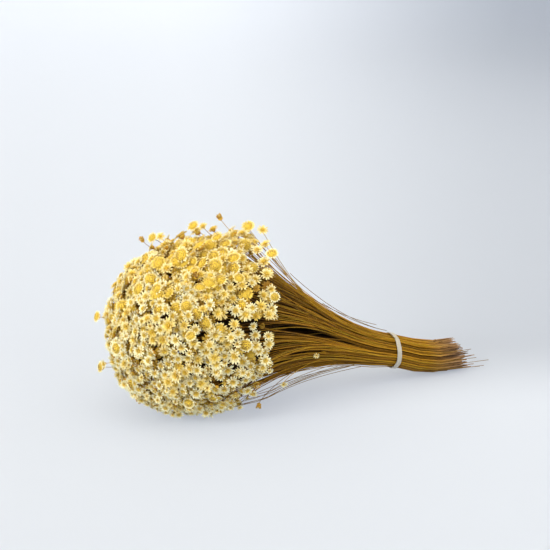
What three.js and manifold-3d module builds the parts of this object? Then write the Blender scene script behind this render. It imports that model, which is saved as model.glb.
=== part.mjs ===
// A tied bunch of dried star flowers lying on its side: several hundred wiry straws, each with one small papery
// daisy at its tip, gathered by a flat elastic band. Millimetres, +Z up. The straws run along X: the flowers are
// towards -X and the cut ends towards +X. "Reach" is the distance from the band towards the flowers, "turn" the
// angle round the bunch (0 is +Y, 90 degrees is up), and "psi" the angle from the front of the flower dome (0) to
// its widest ring (90 degrees).
import * as THREE from "three";
import { mergeVertices } from "three/addons/utils/BufferGeometryUtils.js";
import Module from "manifold-3d";

const wasm = await Module();
wasm.setup();

// ---- Driving dimensions: the bunch ----
const DOME_REACH = 297; // band to the front of the flowers
const WIDEST_REACH = 181; // band to the widest ring of flowers, at the sides of the bunch
const WIDEST_TILT = 11; // on top that ring leans back by the sum of these two,
const WIDEST_BACK = 9; // and below it leans forward by their difference
const DOME_RADIUS = 81; // radius of that ring, to the middle of the flowers
const DOME_BLUNTNESS = 3.8; // 2 is an ellipse, more is blunter in front
const DOME_WIDTH_SHARE = 0.94; // the bunch is a little narrower than it is high
const DOME_HEIGHT = 82.5; // height of the dome's axis over the table, so its lowest flowers are pressed on it
const DOME_LEVEL_REACH = 185; // from here on the bunch's axis is level
const RIM_PSI = 101; // the flowers go on a little behind the widest ring
const RIM_BACK = 50; // how fast the rim runs back there
const TOP_STAND = 9; // the flowers on top of the bunch, behind, stand out this much further
const TOP_STAND_TURN = 38; // over this many degrees to each side
const TIE_HEIGHT = 29.5; // height of the axis at the band
const TIE_SLOPE = 0.2; // rise of the axis per mm of reach at the band
const TIE_RADIUS = 17.2; // the straws beside the band
const WAIST = 0.5; // how far the band pinches them in
const WAIST_LENGTH = 6;
const CUT_REACH = -62;
const CUT_LEVEL_REACH = -49; // from here to their cut ends the straws lie level on the table
const CUT_RADIUS = 17.4;
const CUT_HEIGHT = 16.2; // height of the axis there, so the lowest straws are pressed flat
const FLARE_REACH = 167; // the fan of straws is as wide as the flowers here,
const FLARE_SOONER = 15; // and this much sooner at its top and bottom
const FLARE_LINEAR = 0.18; // it starts nearly parallel ...
const FLARE_POWER = 2.7; // ... and flares like a broom

// ---- Driving dimensions: flowers ----
const FLOWERS = 266;
const FLOWER_MAX_RADIUS = 11;
const FLOWER_POINTS = 6;
const FLOWER_AIR = 0.3; // least air between two flowers
const STEP_WEIGHT = 3; // flowers at different depths may overlap when looked at from outside
const FLOWER_DEPTH = 6; // the deepest flower sits this far inside the outermost
const FACING_SHARE = 0.75; // how far a flower turns away from the axis, as a share of psi
const FACING_SCATTER = 0.4;
const FACING_STALK = 0.5; // and how much it follows its own stalk
const PLACE_SCATTER = 2.4;
const STALK_RADIUS = 1.2; // at the flower, thinner towards the root
const SPRAYS = 42; // the flowers are built in this many sprays
const CORE_INSET = 16; // the dense inner straws lie this far under the flowers
const TUFT_INSET = 12; // the stalks of one spray stand in a flat tuft, whose top lies this far under them
const TUFT_RADIUS = 10;
const TUFT_SIDES = 7;
const TUFT_FOOT = 2; // its foot would reach this far into the inner straws, and is trimmed off by them
const ROOT_INSET = 15; // the stalks run down to points in the tuft this far under the flowers ...
const ROOT_DRAW = 0.45; // ... drawn together to this share of their flowers' spread
const SEAT_AIR = 0.35; // air between a spray and the straws that it grows from

// Flowers on long straws that stand out from the dome: psi and turn in degrees, then how far they stand out.
const STRAY_RADIUS = 4.2;
const STRAYS = [
  [21, 26, 10],
  [19, 291, 10],
  [29, 308, 12],
  [31, 242, 8],
  [64, 79, 12],
  [67, 86, 10],
  [69, 94, 11],
  [84, 80, 6],
  [85, 88, 5],
  [89, 85, 11],
  [91, 98, 7],
  [100, 107, 12],
  [100, 124, 8],
  [58, 12, 10],
  [84, 30, 11],
  [76, -18, 8],
  [88, 196, 8],
];

// ---- Driving dimensions: straws and band ----
const STRAW_RADIUS = 0.9;
const CORE_RIDGES = 18;
const RIDGE_DEPTH = 1;
const CORE_SHARE = 0.84; // the dense core's share of the fan's radius, beyond the band
const CORE_SHARE_REACH = 70; // the core has drawn in to that share here
const FAN_STRAWS = 46; // single straws standing clear of the core
const CUT_STRAWS = 44; // single cut ends
const LONG_CUT_EVERY = 9; // one cut end in so many is long and splayed
const BAND_WIDTH = 5;
const BAND_THICKNESS = 1;
const BAND_AIR = 0.4; // air between the band and the pinched straws
const GOLDEN_TURN = Math.PI * (3 - Math.sqrt(5));
const DEGREE = Math.PI / 180;

// ---- Random numbers: a small linear congruential generator, so every build is the same ----
function dice(seed) {
  let state = seed;
  return () => {
    state = (state * 1664525 + 1013904223) % 4294967296;
    return state / 4294967296;
  };
}

// ---- The form of the bunch ----
// Cubic from height a with slope sa to height b with slope sb, for t from 0 to 1 over a run of the given length.
function cubic(t, run, a, sa, b, sb) {
  const rise = t * t * (3 - 2 * t);
  return a + (b - a) * rise + run * t * (1 - t) * (sa * (1 - t) - sb * t);
}

function axisHeight(reach) {
  if (reach <= CUT_LEVEL_REACH) return CUT_HEIGHT;
  if (reach < 0) {
    return cubic(1 - reach / CUT_LEVEL_REACH, -CUT_LEVEL_REACH, CUT_HEIGHT, 0, TIE_HEIGHT, TIE_SLOPE);
  }
  const t = Math.min(reach / DOME_LEVEL_REACH, 1);
  return cubic(t, DOME_LEVEL_REACH, TIE_HEIGHT, TIE_SLOPE, DOME_HEIGHT, 0);
}

// The point at a reach, a distance from the bunch's axis and a turn round it.
function at(reach, radius, turn) {
  return new THREE.Vector3(
    -reach,
    radius * DOME_WIDTH_SHARE * Math.cos(turn),
    axisHeight(reach) + radius * Math.sin(turn),
  );
}

// Reach of the widest ring of flowers at a turn.
function widestReach(turn) {
  return WIDEST_REACH - WIDEST_TILT * Math.sin(turn) - WIDEST_BACK * Math.sin(turn) ** 2;
}

// Radius of the straws, from the cut ends through the waist under the band to the flowers.
function fanRadius(reach, turn) {
  const waist = WAIST * Math.max(1 - Math.abs(reach) / WAIST_LENGTH, 0);
  if (reach < 0) {
    const t = Math.min(reach / CUT_REACH, 1);
    return TIE_RADIUS + (CUT_RADIUS - TIE_RADIUS) * Math.sqrt(t) - waist;
  }
  const t = Math.min(reach / (FLARE_REACH - FLARE_SOONER * Math.sin(turn) ** 2), 1);
  const flare = FLARE_LINEAR * t + (1 - FLARE_LINEAR) * Math.pow(t, FLARE_POWER);
  return TIE_RADIUS + (DOME_RADIUS - TIE_RADIUS) * flare - waist;
}

// ---- The dome of flowers ----
function dome(psi, turn) {
  const c = Math.cos(psi);
  const widest = widestReach(turn);
  const front = (DOME_REACH - widest) * Math.pow(Math.max(c, 0), 2 / DOME_BLUNTNESS);
  return { reach: widest + (c > 0 ? front : RIM_BACK * c), radius: DOME_RADIUS * Math.sin(psi) };
}

function topStand(psi, turn) {
  const aside = Math.atan2(Math.sin(turn - Math.PI / 2), Math.cos(turn - Math.PI / 2));
  const share = Math.min(Math.max((psi / DEGREE - 50) / 25, 0), 1);
  return TOP_STAND * Math.exp(-((aside / TOP_STAND_TURN / DEGREE) ** 2)) * share * share * (3 - 2 * share);
}

// Angle between the bunch's axis and the normal of the dome.
function normalLean(psi, turn) {
  const a = dome(psi - 0.01, turn);
  const b = dome(psi + 0.01, turn);
  return Math.atan2(a.reach - b.reach, b.radius - a.radius);
}

// The direction that leans away from the axis towards a turn.
function leaning(lean, turn) {
  return new THREE.Vector3(
    -Math.cos(lean),
    Math.sin(lean) * Math.cos(turn),
    Math.sin(lean) * Math.sin(turn),
  );
}

// psi of the k-th of count places that share the dome's surface equally, front first.
function equalShares(count) {
  const steps = 240;
  const area = [0];
  for (let i = 0; i < steps; i++) {
    const a = dome((RIM_PSI * DEGREE * i) / steps, 0);
    const b = dome((RIM_PSI * DEGREE * (i + 1)) / steps, 0);
    const length = Math.hypot(a.reach - b.reach, a.radius - b.radius);
    area.push(area[i] + (length * (a.radius + b.radius)) / 2);
  }
  return (k) => {
    const wanted = ((k + 0.5) / count) * area[steps];
    let i = 1;
    while (area[i] < wanted) i++;
    const part = (wanted - area[i - 1]) / (area[i] - area[i - 1]);
    return (RIM_PSI * DEGREE * (i - 1 + part)) / steps;
  };
}

// Flowers on a golden-angle spiral over the dome, scattered a little, after the stray ones.
function placeFlowers() {
  const roll = dice(7);
  const psiOf = equalShares(FLOWERS);
  const flowers = [];
  const plant = (psi, turn, out, radius) => {
    const ring = dome(psi, turn);
    const face = leaning(FACING_SHARE * psi, turn);
    const place = at(ring.reach, ring.radius, turn).addScaledVector(face, out + topStand(psi, turn));
    const scatter = new THREE.Vector3(roll() - 0.5, roll() - 0.5, roll() - 0.5);
    face.addScaledVector(scatter, 2 * FACING_SCATTER).normalize();
    flowers.push({ place, face, radius, spin: roll() * 2 * Math.PI });
  };
  for (const [psi, turn, out] of STRAYS) plant(psi * DEGREE, turn * DEGREE, out, STRAY_RADIUS);
  for (let k = 0; k < FLOWERS; k++) {
    const psi = Math.max(psiOf(k) + ((roll() - 0.5) * PLACE_SCATTER) / DOME_RADIUS, 0);
    const turn = k * GOLDEN_TURN + ((roll() - 0.5) * PLACE_SCATTER) / Math.max(dome(psi, 0).radius, 12);
    plant(psi, turn, k % 2 ? -FLOWER_DEPTH : -roll(), FLOWER_MAX_RADIUS);
  }
  return flowers;
}

// Sizes flowers so that none touches another or the table. A step in depth counts for more than one sideways.
function makeRoom(flowers) {
  flowers.forEach(keepAboveTable);
  for (const f of flowers) {
    for (const g of flowers) {
      if (f === g) continue;
      const apart = g.place.clone().sub(f.place);
      const deeper = apart.dot(f.face);
      const room = Math.sqrt(apart.lengthSq() + (STEP_WEIGHT - 1) * deeper * deeper);
      f.radius = Math.min(f.radius, (room - FLOWER_AIR) / 2);
    }
  }
  flowers.forEach(keepAboveTable);
}

// ---- One flower: heights and widths as shares of its radius ----
const BUTTON_UP = 0.3;
const POINT_OUT = 0.98;
const POINT_UP = 0.1;
const NOTCH_OUT = 0.78;
const NOTCH_UP = -0.04;
const NECK_UP = -0.6;

// Lifts a flower that would reach into the table, so that its lowest point or button just clears it.
function keepAboveTable(flower) {
  const down = -flower.face.z;
  const edge = POINT_OUT * Math.sqrt(1 - down * down) + POINT_UP * down;
  const reachDown = Math.max(edge, BUTTON_UP * down) * flower.radius;
  flower.place.z = Math.max(flower.place.z, reachDown + 0.02);
}

// A six-pointed star of bracts with a raised button, over a cup and a stalk that narrow to a point at the root.
function flowerGeometry({ place, face, radius, spin, root }) {
  const [u, v] = squareTo(face);
  const put = (out, turn, up) => {
    const point = place.clone().addScaledVector(face, up * radius);
    point.addScaledVector(u, out * radius * Math.cos(turn + spin));
    return point.addScaledVector(v, out * radius * Math.sin(turn + spin));
  };
  const rim = 2 * FLOWER_POINTS;
  const points = [put(0, 0, BUTTON_UP)];
  for (let i = 0; i < rim; i++) {
    const turn = (i * 2 * Math.PI) / rim;
    points.push(i % 2 ? put(NOTCH_OUT, turn, NOTCH_UP) : put(POINT_OUT, turn, POINT_UP));
  }
  points.push(...threeRing(put(0, 0, NECK_UP), face, STALK_RADIUS, spin), root);
  const faces = [];
  const neckAt = rim + 1;
  const rootAt = rim + 4;
  const perSide = rim / 3;
  for (let i = 0; i < rim; i++) {
    const next = (i + 1) % rim;
    const side = Math.floor(i / perSide);
    faces.push([0, 1 + i, 1 + next], [1 + next, 1 + i, neckAt + side]);
    if (next % perSide === 0) faces.push([1 + next, neckAt + side, neckAt + ((side + 1) % 3)]);
  }
  for (let j = 0; j < 3; j++) faces.push([neckAt + ((j + 1) % 3), neckAt + j, rootAt]);
  return geometryFrom(points, faces);
}

// ---- Sprays: neighbouring flowers whose stalks stand in one tuft on the dense straws ----
function placeSprays(flowers) {
  const psiOf = equalShares(SPRAYS);
  const sprays = [];
  for (let k = 0; k < SPRAYS; k++) {
    const psi = psiOf(k);
    const turn = k * GOLDEN_TURN;
    const ring = dome(psi, turn);
    const face = leaning(normalLean(psi, turn), turn);
    const crown = at(ring.reach, ring.radius, turn);
    sprays.push({ crown, face, flowers: [] });
  }
  const nearer = (place) => (a, b) => (a.crown.distanceTo(place) <= b.crown.distanceTo(place) ? a : b);
  for (const f of flowers) {
    const { crown, face, flowers: members } = sprays.reduce(nearer(f.place));
    members.push(f);
    const aside = f.place.clone().sub(crown);
    aside.addScaledVector(face, -aside.dot(face)).multiplyScalar(ROOT_DRAW);
    aside.clampLength(0, TUFT_RADIUS * 0.7);
    f.root = crown.clone().addScaledVector(face, -ROOT_INSET).add(aside);
    f.face.addScaledVector(f.place.clone().sub(f.root).normalize(), FACING_STALK).normalize();
  }
  return sprays;
}

function sprayGeometry({ crown, face, flowers }, core) {
  const profile = [
    [0, -CORE_INSET - TUFT_FOOT],
    [TUFT_RADIUS, -CORE_INSET + 0.6],
    [TUFT_RADIUS * 0.9, -TUFT_INSET - 1],
    [0, -TUFT_INSET],
  ];
  const tuft = new THREE.LatheGeometry(profile.map(([x, y]) => new THREE.Vector2(x, y)), TUFT_SIDES);
  tuft.applyQuaternion(new THREE.Quaternion().setFromUnitVectors(new THREE.Vector3(0, 1, 0), face));
  tuft.translate(...crown);
  return geometryOf(union([tuft, ...flowers.map(flowerGeometry)].map(solid)).subtract(core));
}

// ---- Straws ----
// The dense core's outline at a turn: reach, radius and ridge depth, from the cut ends to the inside of the dome. The
// last five follow the dome.
function coreOutline(turn) {
  const outline = [CUT_REACH, CUT_LEVEL_REACH, -26, -WAIST_LENGTH, 0, WAIST_LENGTH].map((reach) => {
    return [reach, fanRadius(reach, turn), RIDGE_DEPTH * 0.7];
  });
  for (const reach of [30, CORE_SHARE_REACH, 95, 118]) {
    const share = 1 - (1 - CORE_SHARE) * Math.min(reach / CORE_SHARE_REACH, 1);
    outline.push([reach, share * fanRadius(reach, turn), RIDGE_DEPTH]);
  }
  for (const share of [1, 0.86, 0.68, 0.48, 0.28]) {
    const psi = RIM_PSI * DEGREE * share;
    const lean = normalLean(psi, turn);
    const { reach, radius } = dome(psi, turn);
    outline.push([reach - CORE_INSET * Math.cos(lean), radius - CORE_INSET * Math.sin(lean), 0]);
  }
  return outline;
}

// The core, or with some air the same form that much larger, to cut the sprays free of it.
function coreGeometry(air) {
  const sides = 2 * CORE_RIDGES;
  const rings = coreOutline(0).length;
  const points = [];
  const faces = [];
  for (let i = 0; i < rings; i++) {
    for (let j = 0; j < sides; j++) {
      const turn = -Math.PI / 2 + (j * 2 * Math.PI) / sides;
      const [reach, radius, ridge] = coreOutline(turn)[i];
      points.push(at(reach, radius + air - (j % 2 ? ridge : 0), turn));
    }
  }
  for (let i = 0; i + 1 < rings; i++) {
    for (let j = 0; j < sides; j++) {
      const a = i * sides + j;
      const b = i * sides + ((j + 1) % sides);
      faces.push([a, a + sides, b], [b, a + sides, b + sides]);
    }
  }
  const tail = points.push(at(CUT_REACH - air, 0, 0)) - 1;
  const tip = points.push(at(DOME_REACH - CORE_INSET + air, 0, 0)) - 1;
  const last = (rings - 1) * sides;
  for (let j = 0; j < sides; j++) {
    const k = (j + 1) % sides;
    faces.push([tail, j, k], [tip, last + k, last + j]);
  }
  return geometryFrom(points, faces);
}

// A three-sided straw through the given points, closed at both ends.
function straw(path) {
  const points = [];
  const faces = [];
  path.forEach((p, i) => {
    const ahead = path[Math.min(i + 1, path.length - 1)];
    const behind = path[Math.max(i - 1, 0)];
    points.push(...threeRing(p, ahead.clone().sub(behind).normalize(), STRAW_RADIUS, 0));
  });
  for (let i = 0; i + 1 < path.length; i++) {
    for (let j = 0; j < 3; j++) {
      const a = 3 * i + j;
      const b = 3 * i + ((j + 1) % 3);
      faces.push([a, b, b + 3], [a, b + 3, a + 3]);
    }
  }
  const last = 3 * (path.length - 1);
  faces.push([2, 1, 0], [last, last + 1, last + 2]);
  return geometryFrom(points, faces);
}

// Single straws that leave the core beyond the band, and dip into it again under the rearmost flowers.
function fanStraws() {
  const roll = dice(31);
  const made = [];
  for (let k = 0; k < FAN_STRAWS; k++) {
    const turn = ((k + roll() * 0.7) / FAN_STRAWS) * 2 * Math.PI;
    const share = 0.93 + 0.06 * roll();
    const [rimReach, rimRadius] = coreOutline(turn).at(-5);
    const path = [at(40, 0.9 * fanRadius(40, turn) - 2.5, turn)];
    for (const reach of [82, 118]) path.push(at(reach, share * fanRadius(reach, turn) - STRAW_RADIUS, turn));
    path.push(at(rimReach + 2, rimRadius - 2.2, turn));
    made.push(straw(path));
  }
  return made;
}

// Cut ends of different lengths, a few of them long and splayed.
function cutStraws() {
  const roll = dice(53);
  const made = [];
  for (let k = 0; k < CUT_STRAWS; k++) {
    const turn = k * GOLDEN_TURN;
    const radius = Math.sqrt((k + 0.5) / CUT_STRAWS) * (CUT_RADIUS - 1.8);
    const long = k % LONG_CUT_EVERY === LONG_CUT_EVERY - 1;
    const length = long ? 22 + 12 * roll() : 3 + 14 * roll();
    const splay = length * (long ? 0.11 : 0.04) * (roll() + 0.3);
    const end = at(CUT_REACH - length, radius + splay, turn);
    end.z = Math.max(end.z, STRAW_RADIUS + 0.1);
    made.push(straw([at(CUT_REACH + 5, radius, turn), end]));
  }
  return made;
}

function strawBundleGeometry() {
  const all = [coreGeometry(0), ...fanStraws(), ...cutStraws()].map(solid);
  return geometryOf(union(all).trimByPlane([0, 0, 1], 0));
}

// ---- Band: a flat elastic round the pinched straws ----
function bandGeometry() {
  const sides = 2 * CORE_RIDGES;
  const inside = TIE_RADIUS - (WAIST * (WAIST_LENGTH - BAND_WIDTH / 2)) / WAIST_LENGTH + BAND_AIR;
  const edge = BAND_WIDTH / 2;
  const softened = 0.3 * BAND_THICKNESS;
  const profile = [
    [-edge, inside],
    [-edge, inside + BAND_THICKNESS - softened],
    [-edge + softened, inside + BAND_THICKNESS],
    [edge - softened, inside + BAND_THICKNESS],
    [edge, inside + BAND_THICKNESS - softened],
    [edge, inside],
  ];
  const points = [];
  const faces = [];
  const n = profile.length;
  for (let j = 0; j < sides; j++) {
    const turn = -Math.PI / 2 + (j * 2 * Math.PI) / sides;
    for (const [reach, radius] of profile) points.push(at(reach, radius, turn));
    for (let i = 0; i < n; i++) {
      const a = j * n + i;
      const b = j * n + ((i + 1) % n);
      const c = ((j + 1) % sides) * n + i;
      const d = ((j + 1) % sides) * n + ((i + 1) % n);
      faces.push([a, b, c], [b, d, c]);
    }
  }
  return geometryFrom(points, faces);
}

// ---- Geometry helpers ----
function geometryFrom(points, faces) {
  const geometry = new THREE.BufferGeometry().setFromPoints(points);
  geometry.setIndex(faces.flat());
  return geometry;
}

// A geometry as a solid that can be joined and cut.
function solid(geometry) {
  const bare = new THREE.BufferGeometry();
  bare.setAttribute("position", geometry.attributes.position);
  bare.setIndex(geometry.index);
  const merged = mergeVertices(bare, 1e-4);
  return new wasm.Manifold(
    new wasm.Mesh({
      numProp: 3,
      vertProperties: merged.attributes.position.array,
      triVerts: new Uint32Array(merged.index.array),
    }),
  );
}

function geometryOf(made) {
  const mesh = made.getMesh();
  const geometry = new THREE.BufferGeometry();
  geometry.setAttribute("position", new THREE.BufferAttribute(mesh.vertProperties, mesh.numProp));
  geometry.setIndex(new THREE.BufferAttribute(mesh.triVerts, 1));
  return geometry;
}

function union(solids) {
  return wasm.Manifold.union(solids);
}

// Two axes square to a direction.
function squareTo(direction) {
  const helper = Math.abs(direction.x) < 0.8 ? new THREE.Vector3(1, 0, 0) : new THREE.Vector3(0, 1, 0);
  const u = helper.cross(direction).normalize();
  return [u, new THREE.Vector3().crossVectors(direction, u)];
}

// Three points round a centre, in the plane square to a direction.
function threeRing(centre, direction, radius, spin) {
  const [u, v] = squareTo(direction);
  return [0, 1, 2].map((i) => {
    const turn = spin + (i * 2 * Math.PI) / 3;
    const point = centre.clone().addScaledVector(u, radius * Math.cos(turn));
    return point.addScaledVector(v, radius * Math.sin(turn));
  });
}

// ---- Materials and assembly ----
const strawMaterial = new THREE.MeshStandardMaterial({ color: 0x9a7436, roughness: 0.7, metalness: 0 });
const flowerMaterial = new THREE.MeshStandardMaterial({ color: 0xecd79a, roughness: 0.85, metalness: 0 });
const bandMaterial = new THREE.MeshStandardMaterial({ color: 0xeeeadd, roughness: 0.8, metalness: 0 });

const bunch = new THREE.Group();
function add(name, geometry, material) {
  geometry.computeVertexNormals();
  const mesh = new THREE.Mesh(geometry, material);
  mesh.name = name;
  bunch.add(mesh);
}

add("straw_bundle", strawBundleGeometry(), strawMaterial);
add("elastic_band", bandGeometry(), bandMaterial);
const airyCore = solid(coreGeometry(SEAT_AIR));
const allFlowers = placeFlowers();
const sprays = placeSprays(allFlowers);
makeRoom(allFlowers);
sprays.forEach((spray, i) => {
  add("flowers_" + String(i + 1).padStart(2, "0"), sprayGeometry(spray, airyCore), flowerMaterial);
});

// The origin is under the middle of the bunch, on the table.
const box = new THREE.Box3().setFromObject(bunch);
const middle = box.getCenter(new THREE.Vector3());
bunch.position.set(-middle.x, -middle.y, -box.min.z);

export default bunch;
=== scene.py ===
"""A tied bunch of dried star flowers, lying on its side: wiry straws with one small papery flower each,
held by an elastic band."""

import math

import bpy
import numpy as np
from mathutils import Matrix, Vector


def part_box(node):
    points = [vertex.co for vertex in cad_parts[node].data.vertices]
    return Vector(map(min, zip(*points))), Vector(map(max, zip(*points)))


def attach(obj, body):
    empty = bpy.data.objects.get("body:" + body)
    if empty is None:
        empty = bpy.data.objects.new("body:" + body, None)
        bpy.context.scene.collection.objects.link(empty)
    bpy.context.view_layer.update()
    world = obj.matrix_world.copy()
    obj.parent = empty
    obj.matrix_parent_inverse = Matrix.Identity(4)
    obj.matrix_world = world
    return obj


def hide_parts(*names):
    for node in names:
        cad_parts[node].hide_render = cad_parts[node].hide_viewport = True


bl_info = {
    "name": "Dried Star Flower Bunch",
    "version": (1, 0, 0),
    "blender": (4, 5, 0),
    "location": "View3D > Sidebar > Flower Bunch",
    "description": "A tied bunch of small papery everlasting flowers on wiry straws, lying on its side",
    "category": "Add Mesh",
}

# The form of the bunch, in millimetres. "Reach" runs from the band towards the flowers, "turn" goes round
# the bunch (0 is +Y, a quarter turn is up), and "psi" runs from the front of the flower dome (0) past its
# widest ring (90 degrees) to its rim.
MM = 0.001
# The dome of flowers: its front, its widest ring, its height and its rim.
DOME_REACH = 297.0
WIDEST_REACH = 181.0
WIDEST_TILT = 11.0
WIDEST_BACK = 9.0
DOME_RADIUS = 81.0
DOME_BLUNTNESS = 3.8
DOME_WIDTH_SHARE = 0.94
DOME_HEIGHT = 82.5
DOME_LEVEL_REACH = 185.0
RIM_PSI = math.radians(101)
RIM_BACK = 50.0
TOP_STAND = 9.0
# The flowers below this height sag under the weight of the bunch, by this much at the table.
SAG = 3.0
SAG_BELOW = 36.0
# The straws at the band, which pinches them.
TIE_HEIGHT = 29.5
TIE_SLOPE = 0.2
TIE_RADIUS = 17.2
WAIST = 0.5
WAIST_LENGTH = 6.0
# The cut ends.
CUT_REACH = -62.0
CUT_LEVEL_REACH = -49.0
CUT_RADIUS = 17.4
CUT_HEIGHT = 16.2
# The fan between the band and the flowers.
FLARE_REACH = 167.0
FLARE_SOONER = 15.0
FLARE_LINEAR = 0.18
FLARE_POWER = 2.7
# The turn from one flower of a spiral to the next.
GOLDEN_TURN = math.pi * (3 - math.sqrt(5))

# The large flowers stand at the same places as those of the CAD model.
FLOWERS = 266
FLOWER_DEPTH = 6.0
FACING_SHARE = 0.75
FACING_SCATTER = 0.4
PLACE_SCATTER = 2.4
# Added to the facing of the smaller flowers and the strays, which turn a little towards the light.
TOWARDS_LIGHT = (-0.12, -0.34, 0.14)
SPRAYS = 42
# Flowers that stand out of the dome: psi and turn in degrees, and how far they stand out.
STRAYS = [
    (21, 26, 10), (19, 291, 10), (29, 308, 12), (31, 242, 8), (64, 79, 12), (67, 86, 10),
    (69, 94, 11), (84, 80, 6), (85, 88, 5), (89, 85, 11), (91, 98, 7), (100, 107, 12),
    (100, 124, 8), (58, 12, 10), (84, 30, 11), (76, -18, 8), (88, 196, 8),
]
# Middle and radius of the patch of golden flowers, from the band's middle on the table.
GOLDEN_PATCH = (-229.0, -42.0, 150.0)
GOLDEN_PATCH_RADIUS = 38.0

# Dark openings between the flowers: place on the dome, from the band's middle on the table, and radius.
OPENINGS = [
    (-269, -51, 111, 6), (-247, -65, 106, 6), (-243, -70, 93, 6), (-219, -71, 105, 10),
    (-195, -73, 98, 10), (-231, -60, 39, 6), (-174, -72, 95, 9),
]

# Flowers on short straws in the fan: reach, turn in degrees, how far they stand out, radius.
FAN_FLOWERS = [
    (106, 204, 1.5, 3.4), (151, 219, 3, 4.2), (172, 236, 4, 4.8), (168, 152, 2, 4.4), (176, 200, 3, 4.0),
]
# Single straws: turn in degrees, reach and stand-off at one end, reach and stand-off at the other.
LOOSE_STRAWS = [
    # Over the fan.
    (118, 98, 0, 26, 10.5), (100, 120, 1, 18, 3), (92, 80, 0, 6, 2.5), (126, 60, 0, 2, 2),
    # Under the fan, out of the dome.
    (250, 188, -1, 52, 0.3), (256, 184, 0, 38, 0.3), (262, 190, -1, 64, 0.3), (236, 184, -3, 50, 0.3),
    (229, 186, -2, 70, 0.3), (243, 182, -1, 60, 0.3), (275, 186, -1, 42, 0.3),
    # Beside the fan.
    (20, 110, 1, 24, 7), (330, 120, 5, 10, 0.5),
    # Out of the tail.
    (204, -25, -1, -108, 1), (232, -25, -1, -106, 1), (216, -25, -1, -97, 4), (186, -25, -1, -91, 2),
    (158, -25, -1, -84, 4), (120, -25, -1, -80, -6), (10, -25, -1, -90, 0), (60, -25, -1, -82, -6),
    (300, -25, -1, -96, -1),
]

# Where the straws part in locks: turn in degrees, and half width of each parting.
PARTINGS = [
    (174, 4.5), (112, 1.2), (143, 1.0), (206, 1.4), (238, 1.2), (20, 2.2), (62, 1.2), (300, 2.0), (338, 1.2),
]
# Points on a straw's line, and how many of them belong to the piece of straws. The sprays have the others.
STRAW_POINTS = 15
LOWER_POINTS = 13
# The lowest middle of a straw above the table.
STRAW_CLEARANCE = 0.5

# What the camera looks at, from the band's middle on the table, and where it looks from.
AIM = (-131.463, 0, 122.0)
CAMERA_AZIMUTH = math.radians(-27.767)
CAMERA_ELEVATION = math.radians(13.645)

# Kinds of flower.
STAR, GOLDEN, SMALL, BUD = range(4)
# Materials of a spray, in the order of its slots.
BRACT, DISC, CUP, STALK = range(4)

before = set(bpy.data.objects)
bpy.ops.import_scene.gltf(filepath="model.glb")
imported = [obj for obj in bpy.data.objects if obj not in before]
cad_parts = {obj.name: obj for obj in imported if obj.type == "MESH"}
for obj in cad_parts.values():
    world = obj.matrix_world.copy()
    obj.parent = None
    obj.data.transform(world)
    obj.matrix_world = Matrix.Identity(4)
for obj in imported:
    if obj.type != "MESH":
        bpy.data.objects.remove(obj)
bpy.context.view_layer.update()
BAND_LOW, BAND_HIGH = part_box("elastic_band")
TIE_X = (BAND_LOW.x + BAND_HIGH.x) / 2 / MM
TIE_Y = (BAND_LOW.y + BAND_HIGH.y) / 2 / MM


def linear(code):
    """Linear red, green and blue of an sRGB hex colour: c / 12.92 up to 0.04045, and above that
    ((c + 0.055) / 1.055) ^ 2.4."""
    parts = [int(code[i : i + 2], 16) / 255 for i in (0, 2, 4)]
    return tuple(c / 12.92 if c <= 0.04045 else ((c + 0.055) / 1.055) ** 2.4 for c in parts)


# ---- Sizes and colours that a user may change ----
def length_prop(name, description, default):
    """A length in metres."""
    return bpy.props.FloatProperty(
        name=name, description=description, default=default, unit="LENGTH", precision=5
    )


def colour_prop(name, description, code):
    """A colour, from its sRGB hex code."""
    return bpy.props.FloatVectorProperty(
        name=name, description=description, default=linear(code), subtype="COLOR", size=3, min=0, max=1
    )


class FlowerSettings(bpy.types.PropertyGroup):
    """Sizes and colours of the flowers"""

    largest: length_prop("Largest radius", "Radius of the largest flower, to its bract tips", 0.0088)
    smallest: length_prop("Smallest radius", "Radius of the smallest open flower", 0.004)
    between: bpy.props.IntProperty(
        name="Flowers between", description="Most flowers between the large ones", default=1300
    )
    cream: colour_prop("Cream", "Bract tips of the palest flowers", "fff9cb")
    straw_yellow: colour_prop("Straw yellow", "Bract tips of the warmest flowers", "eecd58")
    golden: colour_prop("Golden", "Foot of the bracts and the golden middles", "eac640")
    ochre: colour_prop("Ochre", "Small dark middles", "a27424")
    # Amber also paints the shade on the bracts of the deeper flowers.
    amber: colour_prop("Amber", "Cups under the flowers", "c4852a")


class StrawSettings(bpy.types.PropertyGroup):
    """Sizes and colours of the straws"""

    thickness: length_prop("Thickness", "Diameter of a straw at its cut end", 0.0008)
    tip_thickness: length_prop("Thickness at the flower", "Diameter of a straw under its flower", 0.0005)
    golden_brown: colour_prop("Golden brown", "Sunlit side of the straws", "b37e19")
    # Dark brown is also the painted shade of the straws deep in the bunch.
    dark_brown: colour_prop("Dark brown", "Straws that lie deeper in the bunch", "382305")
    olive: colour_prop("Olive", "Greener straws among the others", "8d741b")
    red_brown: colour_prop("Red brown", "Weathered cut ends", "9d7a5a")


class BandSettings(bpy.types.PropertyGroup):
    """Size and colour of the elastic band"""

    width: length_prop("Width", "Width of the flat band", 0.005)
    thickness: length_prop("Thickness", "Thickness of the band", 0.001)
    colour: colour_prop("Colour", "Natural white of the covering yarn", "c8c2b3")


class StageSettings(bpy.types.PropertyGroup):
    """Camera, lamps and floor"""

    distance: length_prop("Camera distance", "From the camera to the bunch", 1.5)
    lens: bpy.props.FloatProperty(name="Lens", description="Focal length in millimetres", default=103.32)
    floor: colour_prop("Floor", "Colour of the floor", "9499a2")
    # The floor's painted shade fades to this colour.
    painted_floor_shade: colour_prop("Backdrop", "Colour that the floor fades to on its shaded side", "545a65")


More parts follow.
